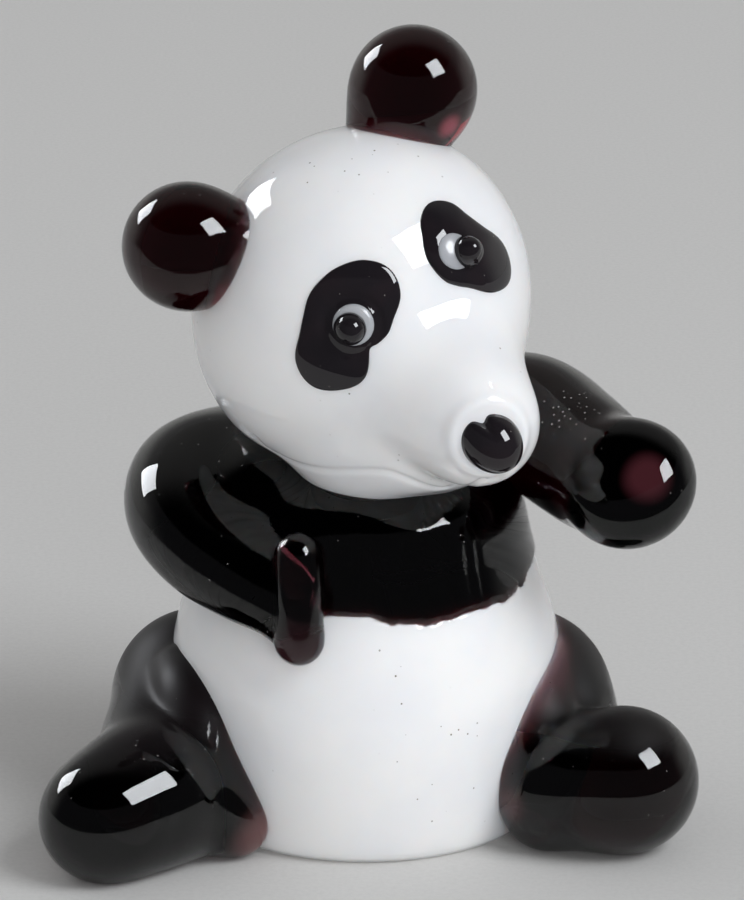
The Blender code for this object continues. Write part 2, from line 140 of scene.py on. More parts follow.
class Board:
    """A material's or the world's node tree."""

    def __init__(self, owner: object) -> None:
        """Empties the owner's node tree and keeps it.

        Args:
            owner: A material or a world.
        """
        owner.use_nodes = True
        self.tree = owner.node_tree
        self.tree.nodes.clear()

    def node(self, kind: str, settings: dict, values: dict) -> bpy.types.Node:
        """Adds a node.

        Args:
            kind: The node's type.
            settings: Its own settings, set first.
            values: What its inputs hold, by name or number: wires or plain values.

        Returns:
            The node.
        """
        node = self.tree.nodes.new(kind)
        for name, value in settings.items():
            setattr(node, name, value)
        for name, value in values.items():
            source = value.source if isinstance(value, Wire) else value
            if isinstance(source, bpy.types.NodeSocket):
                self.tree.links.new(source, node.inputs[name])
            else:
                node.inputs[name].default_value = source
        return node

    def wire(self, kind: str, settings: dict, values: dict, output: object = 0) -> Wire:
        """Adds a node and gives one of its outputs.

        Args:
            kind: The node's type.
            settings: Its own settings.
            values: What its inputs hold.
            output: The output's name or number.

        Returns:
            The output.
        """
        return Wire(self, self.node(kind, settings, values).outputs[output])

    def object_place(self) -> Wire:
        """The place on the object, in metres."""
        return self.wire("ShaderNodeTexCoord", {}, {}, "Object")

    def split(self, vector: Wire) -> list[Wire]:
        """A vector's three parts.

        Args:
            vector: The vector.

        Returns:
            Its x, y and z.
        """
        node = self.node("ShaderNodeSeparateXYZ", {}, {0: vector})
        return [Wire(self, output) for output in node.outputs]

    def cloud(self, place: Wire, size: float, detail: float = 2.0, roughness: float = 0.5) -> Wire:
        """Soft noise with features of about one size.

        Args:
            place: Where it is read.
            size: The features' size in metres.
            detail: How many finer layers it has.
            roughness: How strong the finer layers are.

        Returns:
            A value round 0.5.
        """
        values = {"Vector": place, "Scale": 1.0 / size, "Detail": detail, "Roughness": roughness}
        return self.wire("ShaderNodeTexNoise", {}, values, "Fac")

    def clouds(
        self, place: Wire, size: float, detail: float, low: float, high: float,
        roughness: float = 0.5,
    ) -> Wire:
        """Soft noise as a mask.

        Args:
            place: Where it is read.
            size: The features' size in metres.
            detail: How many finer layers it has.
            low: The noise that gives 0.
            high: The noise that gives 1.
            roughness: How strong the finer layers are.

        Returns:
            The mask.
        """
        return self.cloud(place, size, detail, roughness).rises(low, high)

    def specks(self, place: Wire, spacing: float, size: float) -> Wire:
        """Small round specks in a random scatter.

        Args:
            place: Where it is read.
            spacing: The mean distance between specks, in metres.
            size: A speck's radius as a share of the spacing.

        Returns:
            A mask that is 1 in a speck.
        """
        values = {"Vector": place, "Scale": 1.0 / spacing, "Randomness": 1.0}
        distance = self.wire("ShaderNodeTexVoronoi", {"feature": "F1"}, values, "Distance")
        return 1.0 - distance.rises(size * SPECK_CORE, size)

    def near(self, place: Wire, row: Row) -> Wire:
        """A soft mask round one place.

        Args:
            place: Where it is read.
            row: The place, and the radii where the mask is 1 and 0, in millimetres.

        Returns:
            The mask.
        """
        middle = tuple(part * MM for part in row[:3])
        distance = self.wire(
            "ShaderNodeVectorMath", {"operation": "DISTANCE"}, {0: place, 1: middle}, "Value"
        )
        return 1.0 - distance.rises(row[3] * MM, row[4] * MM)

    def blend(self, share: Wire, low: object, high: object) -> Wire:
        """Mixes two colours.

        Args:
            share: 0 gives low and 1 gives high.
            low: A colour or a wire.
            high: A colour or a wire.

        Returns:
            The mixed colour.
        """
        settings = {"data_type": "RGBA", "clamp_factor": True}
        return self.wire("ShaderNodeMix", settings, {0: share, 6: low, 7: high}, 2)

    def principled(self, values: dict) -> Wire:
        """A Principled shader with these inputs."""
        return self.wire("ShaderNodeBsdfPrincipled", {}, values)

    def layered(self, share: Wire, low: Wire, high: Wire) -> Wire:
        """Mixes two shaders; a share of 0 gives low and 1 gives high."""
        return self.wire("ShaderNodeMixShader", {}, {0: share, 1: low, 2: high})


# Finishes


@dataclass(frozen=True)
class Finish:
    """A finish that makes its own material.

    A row of clouds holds their size in metres, their layers, and the noise where they begin and
    where they are full. A row of specks holds their spacing in metres and their radius as a
    share of it.
    """

    name: str

    def outputs(self, board: Board, place: Wire) -> dict[str, Wire]:
        """Makes the finish's nodes.

        Args:
            board: The material's nodes.
            place: The place on the object.

        Returns:
            What goes in the material's output, by name.
        """
        raise NotImplementedError

    def material(self) -> bpy.types.Material:
        """Makes the material.

        Returns:
            The material.
        """
        material = bpy.data.materials.new(self.name)
        board = Board(material)
        outputs = self.outputs(board, board.object_place())
        board.node("ShaderNodeOutputMaterial", {}, outputs)
        return material


@dataclass(frozen=True)
class OpalGlass(Finish):
    """Opaque white glass, glossy, with faint clouds, pinholes and dust."""

    colour: Colour = (0.90, 0.89, 0.88, 1.0)
    shade: Colour = (0.85, 0.85, 0.86, 1.0)
    clouds: Row = (0.011, 3.0, 0.35, 0.7)
    roughness: float = 0.035
    ior: float = 1.5
    dust: Colour = (0.16, 0.13, 0.10, 1.0)
    dustiness: float = 1.0
    specks: Row = (0.0014, 0.085)
    gathered: Row = (0.014, 1.0, 0.52, 0.68)
    ripple: Row = (0.006, 2.0)
    fine_ripple: Row = (0.0015, 1.0)
    fine_share: float = 0.06
    ripple_strength: float = 0.05
    ripple_depth: float = 0.0004
    glow: float = 0.35
    glow_depth: float = 0.003
    glow_radii: Row = (1.0, 0.8, 0.7)

    def outputs(self, board: Board, place: Wire) -> dict[str, Wire]:
        """Makes the nodes.

        Args:
            board: The material's nodes.
            place: The place on the object.

        Returns:
            The surface.
        """
        colour = board.blend(board.clouds(place, *self.clouds), self.colour, self.shade)
        dust = board.specks(place, *self.specks).both(board.clouds(place, *self.gathered))
        colour = board.blend(dust * self.dustiness, colour, self.dust)
        fine = board.cloud(place, *self.fine_ripple) * self.fine_share
        bump = board.wire("ShaderNodeBump", {}, {
            "Strength": self.ripple_strength, "Distance": self.ripple_depth,
            "Height": board.cloud(place, *self.ripple) + fine,
        })
        return {"Surface": board.principled({
            "Base Color": colour, "Roughness": self.roughness, "IOR": self.ior, "Normal": bump,
            "Subsurface Weight": self.glow, "Subsurface Scale": self.glow_depth,
            "Subsurface Radius": self.glow_radii,
        })}


@dataclass(frozen=True)
class PurpleGlass(Finish):
    """Very dark purple glass that light only passes where it is thin.

    Painted glow places and seeds are rows of a place and the two radii between which they fade, in
    millimetres, and a painted glow place's strength. At painted glow places the glass gives off
    its glow colour as emission, a painted glow that stands in for light shining through thin
    glass.
    Above the smear's levels the glass is as rough as smeared says, and where a sheen is given its
    face there is opaque and as glossy as that.
    """

    tint: Colour = (0.47, 0.10, 0.17, 1.0)
    density: float = 520.0
    ior: float = 1.47
    smeared: float = 0.0
    smear_levels: Row = (0.011, 0.015)
    sheen: float | None = None
    dull: Colour = (0.009, 0.006, 0.007, 1.0)
    # glow is the colour of the painted glow: emission that stands in for light shining through the
    # glass.
    glow: Colour = (0.30, 0.075, 0.10, 1.0)
    painted_glow_places: tuple[Row, ...] = ()
    specks: Row = (0.0012, 0.07)
    gathered: Row = (0.01, 1.0, 0.5, 0.66)
    seeds: tuple[Row, ...] = ()
    seed_specks: Row = (0.0006, 0.2)
    dust: Colour = (0.35, 0.33, 0.32, 1.0)
    dust_roughness: float = 0.5

    def glass(self, board: Board, lit: Wire | float, roughness: float) -> Wire:
        """Makes the glass itself, without its dust.

        Args:
            board: The material's nodes.
            lit: How strongly each place gives off the painted glow.
            roughness: The face's roughness.

        Returns:
            The shader.
        """
        return board.principled({
            "Base Color": WHITE, "Roughness": roughness, "IOR": self.ior,
            # The emission is painted light: a glow that stands in for light shining through the
            # glass.
            "Transmission Weight": 1.0, "Emission Strength": 1.0,
            "Emission Color": board.blend(lit, BLACK, self.glow),
        })

    def smear(self, board: Board, lit: Wire | float) -> Wire:
        """Makes the duller glass above the smear's levels.

        Args:
            board: The material's nodes.
            lit: How strongly each place gives off the painted glow.

        Returns:
            The shader.
        """
        if self.sheen is None:
            return self.glass(board, lit, self.smeared)
        return board.principled({
            "Base Color": self.dull, "Roughness": self.smeared, "Specular IOR Level": self.sheen,
        })

    def outputs(self, board: Board, place: Wire) -> dict[str, Wire]:
        """Makes the nodes.

        Args:
            board: The material's nodes.
            place: The place on the object.

        Returns:
            The surface and the volume.
        """
        dust = board.specks(place, *self.specks).both(board.clouds(place, *self.gathered))
        for row in self.seeds:
            dust = dust.either(board.specks(place, *self.seed_specks).both(board.near(place, row)))
        # Painted glow: the strength of the emission that stands in for light shining through the
        # glass, place by place.
        lit = 0.0
        for row in self.painted_glow_places:
            lit = board.near(place, row) * row[5] + lit
        glass = self.glass(board, lit, 0.0)
        if self.smeared:
            smeared = board.split(place)[2].rises(*self.smear_levels)
            glass = board.layered(smeared, glass, self.smear(board, lit))
        grey = board.principled({"Base Color": self.dust, "Roughness": self.dust_roughness})
        absorbed = {"Color": self.tint, "Density": self.density}
        return {
            "Surface": board.layered(dust, glass, grey),
            "Volume": board.wire("ShaderNodeVolumeAbsorption", {}, absorbed),
        }


@dataclass(frozen=True)
class BlackGlass(Finish):
    """The near-black glass of the eye patches and nose, with a brown cast."""

    colour: Colour = (0.012, 0.010, 0.012, 1.0)
    cast: Colour = (0.015, 0.011, 0.013, 1.0)
    clouds: Row = (0.004, 2.0, 0.4, 0.7)
    roughness: float = 0.02
    ior: float = 1.5
    dust: Colour = (0.3, 0.28, 0.26, 1.0)
    dustiness: float = 0.5
    specks: Row = (0.0013, 0.06)

    def outputs(self, board: Board, place: Wire) -> dict[str, Wire]:
        """Makes the nodes.

        Args:
            board: The material's nodes.
            place: The place on the object.

        Returns:
            The surface.
        """
        colour = board.blend(board.clouds(place, *self.clouds), self.colour, self.cast)
        dust = board.specks(place, *self.specks) * self.dustiness
        return {"Surface": board.principled({
            "Base Color": board.blend(dust, colour, self.dust), "Roughness": self.roughness,
            "IOR": self.ior,
        })}


@dataclass(frozen=True)
class Paper(Finish):
    """The pale paper that the figure stands on."""

    colour: Colour = (0.69, 0.68, 0.66, 1.0)
    shade: float = 0.94
    grain: Row = (0.0006, 3.0, 0.3, 0.75, 0.7)
    roughness: float = 0.75
    sheen: float = 0.2

    def outputs(self, board: Board, place: Wire) -> dict[str, Wire]:
        """Makes the nodes.

        Args:
            board: The material's nodes.
            place: The place on the object.

        Returns:
            The surface.
        """
        darker = tuple(part * self.shade for part in self.colour[:3]) + (1.0,)
        colour = board.blend(board.clouds(place, *self.grain), self.colour, darker)
        return {"Surface": board.principled({
            "Base Color": colour, "Roughness": self.roughness, "Specular IOR Level": self.sheen,
        })}


# Forms: distance from a surface, negative inside, for points in metres

BAR_STEPS = 24
BAR_SOFTNESS = 0.15 * MM
TINY = 1e-9


def unit(vector: Sequence[float]) -> np.ndarray:
    """The same direction with a length of one."""
    vector = np.asarray(vector, dtype=float)
    return vector / np.linalg.norm(vector)


def from_front(angle: np.ndarray) -> np.ndarray:
    """Angles from +X turned into angles from -Y, between minus and plus half a turn."""
    return (angle + 0.75 * FULL_TURN) % FULL_TURN - 0.5 * FULL_TURN


def smooth_step(value: np.ndarray) -> np.ndarray:
    """Rises from 0 to 1 with level ends."""
    value = np.clip(value, 0.0, 1.0)
    return value * value * (3.0 - 2.0 * value)


def curve_through(rows: Sequence[Row], per_span: int) -> np.ndarray:
    """Draws a smooth curve through rows of numbers.

    Args:
        rows: The rows, each one place and whatever goes with it.
        per_span: How many steps lie between two rows.

    Returns:
        The curve's rows, first and last kept.
    """
    rows = np.array(rows, dtype=float)
    padded = np.vstack((2 * rows[0] - rows[1], rows, 2 * rows[-1] - rows[-2]))
    points = []
    for index in range(len(rows) - 1):
        before, start, end, after = padded[index:index + 4]
        for part in np.arange(per_span) / per_span:
            points.append(0.5 * (
                2 * start + (end - before) * part
                + (2 * before - 5 * start + 4 * end - after) * part ** 2
                + (3 * start - before - 3 * end + after) * part ** 3
            ))
    points.append(rows[-1])
    return np.array(points)


def egg(centre: Row, long_axis: Row, radii: Row) -> Form:
    """Makes an ellipsoid.

    Args:
        centre: Its middle.
        long_axis: The way its third radius points.
        radii: Its radii, of which the second lies along Y.

    Returns:
        The form.
    """
    top = unit(long_axis)
    side = unit(np.cross((0.0, 1.0, 0.0), top))
    axes = np.array((side, np.cross(top, side), top))
    sizes = np.array(radii) * MM
    middle = np.array(centre) * MM

    def form(points: Points) -> np.ndarray:
        """Distances from the ellipsoid.

        Args:
            points: The places in metres.

        Returns:
            The distances, negative inside.
        """
        local = (points - middle) @ axes.T
        near = np.linalg.norm(local / sizes, axis=1)
        slope = np.linalg.norm(local / sizes ** 2, axis=1)
        return near * (near - 1.0) / np.maximum(slope, TINY)

    return form


def run_of_glass(rows: Sequence[Row], spacing: float = 0.5) -> Form:
    """Makes a round bar that swells and narrows along a smooth curve.

    It is a row of close balls, melted together.

    Args:
        rows: Places along it with its radius there.
        spacing: The distance between two balls in millimetres.

    Returns:
        The form.
    """
    path = curve_through(rows, BAR_STEPS)
    lengths = np.linalg.norm(np.diff(path[:, :3], axis=0), axis=1)
    along = np.concatenate(((0.0,), np.cumsum(lengths)))
    marks = np.linspace(0.0, along[-1], max(2, round(along[-1] / spacing) + 1))
    balls = np.stack([np.interp(marks, along, part) for part in path.T], axis=1) * MM
    centres, radii = balls[:, :3], balls[:, 3]

    def form(points: Points) -> np.ndarray:
        """Distances from the bar.

        Args:
            points: The places in metres.

        Returns:
            The distances, negative inside.
        """
        square = (points ** 2).sum(axis=1)[:, None] + (centres ** 2).sum(axis=1)
        away = np.sqrt(np.maximum(square - 2.0 * points @ centres.T, 0.0)) - radii
        nearest = away.min(axis=1)
        share = np.exp((nearest[:, None] - away) / BAR_SOFTNESS).sum(axis=1)
        return nearest - BAR_SOFTNESS * (np.log(share) - 1.0)

    return form


def melted(first: np.ndarray, second: np.ndarray, width: object) -> np.ndarray:
    """Joins two distances with a fillet.

    Args:
        first: Distances from one form.
        second: Distances from the other.
        width: The fillet's width in metres, one number or one for each place.

    Returns:
        Distances from the joined form.
    """
    overlap = np.maximum(width - np.abs(first - second), 0.0) / width
    return np.minimum(first, second) - overlap ** 3 * width / 6.0


def fused(softness: float, *forms: Form) -> Form:
    """Melts forms into one.

    Args:
        softness: The width of the fillet between them in millimetres.
        forms: The forms.

    Returns:
        The joined form.
    """
    def form(points: Points) -> np.ndarray:
        """Distances from the joined forms.

        Args:
            points: The places in metres.

        Returns:
            The distances, negative inside.
        """
        total = forms[0](points)
        for other in forms[1:]:
            total = melted(total, other(points), softness * MM)
        return total

    return form


def creased(form: Form, rows: Sequence[Row], depth: float, width: float) -> Form:
    """Draws a soft groove into a form.

    Args:
        form: The form.
        rows: Places along the groove.
        depth: The groove's depth in millimetres.
        width: Its half width in millimetres.

    Returns:
        The grooved form.
    """
    line = run_of_glass([row + (0.0,) for row in rows])
    return lambda points: (
        form(points) + depth * MM * np.exp(-(np.maximum(line(points), 0.0) / (width * MM)) ** 2)
    )


def dented(form: Form, centre: Row, depth: float, width: float) -> Form:
    """Presses a soft round hollow into a form.

    Args:
        form: The form.
        centre: The hollow's middle.
        depth: Its depth in millimetres; a negative one raises a bump.
        width: How far it spreads.

    Returns:
        The dented form.
    """
    middle = np.array(centre) * MM
    return lambda points: form(points) + depth * MM * np.exp(
        -((points - middle) ** 2).sum(axis=1) / (width * MM) ** 2
    )


def pressed(form: Form, rows: Sequence[Row]) -> Form:
    """Presses several hollows into a form.

    Args:
        form: The form.
        rows: Each hollow's middle, its depth and how far it spreads.

    Returns:
        The pressed form.
    """
    for row in rows:
        form = dented(form, row[:3], row[3], row[4])
    return form


def ringed(form: Form, centre: Row, size: float, rise: float, width: float) -> Form:
    """Raises a soft ring on a form.

    Args:
        form: The form.
        centre: The ring's middle.
        size: The ring's radius in millimetres.
        rise: Its height.
        width: Its half width.

    Returns:
        The form with the ring.
    """
    middle = np.array(centre) * MM
    return lambda points: form(points) - rise * MM * np.exp(
        -((np.linalg.norm(points - middle, axis=1) / MM - size) / width) ** 2
    )


def above_floor(form: Form) -> Form:
    """The form cut flat where it rests on the floor."""
    return lambda points: np.maximum(form(points), -points[:, 2])


# Modelling with Blender's operators

BALL_SEGMENTS, BALL_RINGS = 24, 12
PROBE = 2e-6
LONGEST_STEP = 0.6 * MM
LEAST_SLOPE = 0.3
SMOOTHING = 0.5
SMOOTHING_ROUNDS = (5, 5, 2)


class Bench:
    """The modelling operators that the pieces share."""

    @staticmethod
    def clear() -> None:
        """Leaves edit mode and deselects everything."""
        if bpy.context.object is not None and bpy.context.object.mode != "OBJECT":
            bpy.ops.object.mode_set(mode="OBJECT")
        bpy.ops.object.select_all(action="DESELECT")

    @classmethod
    def pick(cls, *objects: bpy.types.Object) -> None:
        """Selects objects and makes the last one active.

        Args:
            objects: The objects.
        """
        cls.clear()
        for item in objects:
            item.select_set(True)
        bpy.context.view_layer.objects.active = objects[-1]

    @classmethod
    def settle_place(cls, piece: bpy.types.Object) -> None:
        """Moves an object's place into its mesh."""
        cls.pick(piece)
        bpy.ops.object.transform_apply(location=True, rotation=True, scale=True)

    @classmethod
    def lump(cls, rows: Sequence[Row]) -> bpy.types.Object:
        """Roughs out a piece from balls.

        Args:
            rows: Each ball's place and radius.

        Returns:
            One object of loose balls.
        """
        balls = []
        for row in rows:
            cls.clear()
            bpy.ops.mesh.primitive_uv_sphere_add(
                segments=BALL_SEGMENTS, ring_count=BALL_RINGS, radius=row[3] * MM,
                location=[part * MM for part in row[:3]],
            )
            balls.append(bpy.context.object)
        cls.pick(*balls)
        bpy.ops.object.join()
        lump = bpy.context.object
        cls.settle_place(lump)
        return lump

    @staticmethod
    def points_of(piece: bpy.types.Object) -> Points:
        """Reads where a mesh's points are.

        Args:
            piece: The mesh object.

        Returns:
            The places.
        """
        points = np.empty((len(piece.data.vertices), 3))
        piece.data.vertices.foreach_get("co", points.ravel())
        return points

    @staticmethod
    def move_points(piece: bpy.types.Object, points: Points) -> None:
        """Puts a mesh's points at places."""
        piece.data.vertices.foreach_set("co", points.ravel())
        piece.data.update()

    @classmethod
    def apply(cls, piece: bpy.types.Object, kind: str, **settings: object) -> None:
        """Adds a modifier and applies it.

        Args:
            piece: The object.
            kind: The modifier's type.
            settings: Its settings.
        """
        cls.pick(piece)
        modifier = piece.modifiers.new(kind.title(), kind)
        for name, value in settings.items():
            setattr(modifier, name, value)
        bpy.ops.object.modifier_apply(modifier=modifier.name)

    @classmethod
    def melt(cls, piece: bpy.types.Object, form: Form, grain: float) -> None:
        """Remeshes a rough piece and settles its skin on a form, evening it out in between.

        Args:
            piece: The rough piece.
            form: The surface that it takes.
            grain: The remesh's grain.
        """
        cls.apply(piece, "REMESH", mode="VOXEL", voxel_size=grain * MM, adaptivity=0.0)
        cls.settle(piece, form, steps=3, by_slope=True)
        for turn, count in enumerate(SMOOTHING_ROUNDS):
            cls.apply(piece, "SMOOTH", factor=SMOOTHING, iterations=count)
            cls.settle(piece, form, steps=2, by_slope=turn == 0)

    @classmethod
    def settle(cls, piece: bpy.types.Object, form: Form, steps: int, by_slope: bool) -> None:
        """Moves a mesh's points onto a form's surface.

        Args:
            piece: The piece.
            form: The form.
            steps: How many steps the points take.
            by_slope: Whether they follow the form's slope rather than their normals.
        """
        points = cls.points_of(piece)
        ways = np.empty_like(points)
        for _ in range(steps):
            here = form(points)
            if by_slope:
                for axis, shift in enumerate(np.eye(3) * PROBE):
                    ways[:, axis] = (form(points + shift) - here) / PROBE
                slope = np.maximum(np.linalg.norm(ways, axis=1), LEAST_SLOPE)
                ways /= slope[:, None]
            else:
                piece.data.vertices.foreach_get("normal", ways.ravel())
                slope = np.maximum((form(points + ways * PROBE) - here) / PROBE, LEAST_SLOPE)
            points -= np.clip(here / slope, -LONGEST_STEP, LONGEST_STEP)[:, None] * ways
            cls.move_points(piece, points)

    @classmethod
    def finish(
        cls, piece: bpy.types.Object, name: str, material: bpy.types.Material, slot: Slot,
        nodes: Sequence[str], sharp: float = 60.0,
    ) -> None:
        """Names, smooths and dresses a finished piece, hangs it on the body and hides its CAD
        nodes.

        Args:
            piece: The piece.
            name: Its name.
            material: Its material.
            slot: The record's slot; not used.
            nodes: The CAD nodes that it stands for.
            sharp: The angle in degrees past which an edge stays sharp.
        """
        piece.name = name
        piece.data.name = name
        cls.pick(piece)
        bpy.ops.object.shade_smooth_by_angle(angle=math.radians(sharp))
        piece.data.materials.clear()
        piece.data.materials.append(material)
        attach(piece, BODY)
        if nodes:
            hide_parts(*nodes)
        log.info("%s: %d faces", name, len(piece.data.polygons))


# The figure. Rows of glass hold places and radii in millimetres


@dataclass
class Torso:
    """The turned white body and the outline that the collar and legs follow."""

    outline: tuple[Row, ...] = (
        (0.0, 17.3), (1.3, 18.4), (6.0, 19.3), (12.0, 19.8), (17.0, 19.6), (21.5, 18.6),
        (25.0, 17.3), (30.0, 16.0), (33.0, 15.3), (34.7, 13.6), (35.5, 10.6), (35.8, 6.0),
        (35.9, 3.0),
    )
    edge_rows: tuple[Row, ...] = (
        (-3.15, 25.2), (-2.2, 25.6), (-1.4, 25.1), (-0.8, 25.5), (-0.4, 25.5), (-0.15, 25.7),
        (0.0, 25.7), (0.145, 25.1), (0.257, 24.86), (0.38, 24.65), (0.507, 24.86), (0.64, 25.07),
        (0.8, 25.1), (0.98, 25.1), (1.17, 25.8), (1.33, 26.5), (1.7, 26.6), (2.3, 25.6),
        (3.15, 25.2),
    )
    nicks: tuple[Row, ...] = ((0.15, 0.016, -0.3), (1.07, 0.03, 0.5), (1.12, 0.02, -0.2))
    waves: tuple[Row, ...] = ((0.05, 31.0, 1.0), (0.04, 47.0, 0.0))
    cone: float = 4.0
    cone_tip: float = 0.3
    foot_levels: Row = (0.0, 0.12, 0.35, 0.7, 1.2)
    wall_levels: tuple[Row, ...] = ((2.0, 23.0, 0.75), (23.0, 28.2, 0.3), (29.0, 31.0, 1.0))
    foot_round: float = 0.25
    foot_segments: int = 3
    foot_limit: float = 50.0
    sharp: float = 40.0
    turns: int = 240
    curve: np.ndarray = field(init=False)
    edge_curve: np.ndarray = field(init=False)

    def __post_init__(self) -> None:
        """Draws the curves of the outline and of the dark glass's edge."""
        self.curve = curve_through(self.outline, 8) * MM
        self.edge_curve = curve_through(self.edge_rows, 6)

    def radius(self, height: np.ndarray) -> np.ndarray:
        """The torso's radius at heights in metres."""
        return np.interp(height, self.curve[:, 0], self.curve[:, 1])

    def edge(self, angle: np.ndarray) -> np.ndarray:
        """The height of the dark glass's ragged lower edge, in metres.

        Args:
            angle: Angles round the body, from +X.

        Returns:
            The heights.
        """
        turn = from_front(angle)
        height = np.interp(turn, self.edge_curve[:, 0], self.edge_curve[:, 1])
        for size, count, start in self.waves:
            height += size * np.sin(count * turn + start)
        for place, width, rise in self.nicks:
            height += rise * np.exp(-((turn - place) / width) ** 2)
        return height * MM

    def build(self, material: bpy.types.Material) -> None:
        """Turns the white body, which narrows to a cone under the dark glass.

        Args:
            material: The white glass.
        """
        levels = list(self.foot_levels)
        for span in self.wall_levels:
            levels += list(np.arange(*span))
        Bench.clear()
        bpy.ops.mesh.primitive_circle_add(
            vertices=self.turns, radius=self.outline[0][1] * MM, fill_type="NGON"
        )
        body = bpy.context.object
        bpy.ops.object.mode_set(mode="EDIT")
        for low, high in zip(levels, levels[1:]):
            bpy.ops.mesh.extrude_region_move(
                TRANSFORM_OT_translate={"value": (0.0, 0.0, (high - low) * MM)}
            )
            ratio = float(self.radius(high * MM) / self.radius(low * MM))
            bpy.ops.transform.resize(
                value=(ratio, ratio, 1.0), center_override=(0.0, 0.0, high * MM)
            )
        bpy.ops.mesh.select_all(action="SELECT")
        bpy.ops.mesh.normals_make_consistent(inside=False)
        bpy.ops.object.mode_set(mode="OBJECT")
        points = Bench.points_of(body)
        over = points[:, 2] - self.edge(np.arctan2(points[:, 1], points[:, 0]))
        spread = np.hypot(points[:, 0], points[:, 1])
        share = 1.0 - np.maximum(over, 0.0) * self.cone / np.maximum(spread, TINY)
        points[:, :2] *= np.clip(share, self.cone_tip, 1.0)[:, None]
        Bench.move_points(body, points)
        Bench.apply(
            body, "BEVEL", width=self.foot_round * MM, segments=self.foot_segments,
            limit_method="ANGLE", angle_limit=math.radians(self.foot_limit),
        )
        Bench.finish(body, "white_body", material, Slot.WHITE, ["body"], sharp=self.sharp)


@dataclass(kw_only=True)
class Gather:
    """A piece of glass that is roughed out from balls and settled on a smooth form."""

    name: str
    nodes: tuple[str, ...]
    slot: Slot = Slot.DARK
    grain: float

    def rough(self) -> Sequence[Row]:
        """The balls that it is roughed out from."""
        raise NotImplementedError

    def form(self) -> Form:
        """The surface that it settles on."""
        raise NotImplementedError

    def build(self, material: bpy.types.Material) -> None:
        """Makes the piece.

        Args:
            material: Its glass.
        """
        piece = Bench.lump(self.rough())
        Bench.melt(piece, self.form(), self.grain)
        Bench.finish(piece, self.name, material, self.slot, self.nodes)


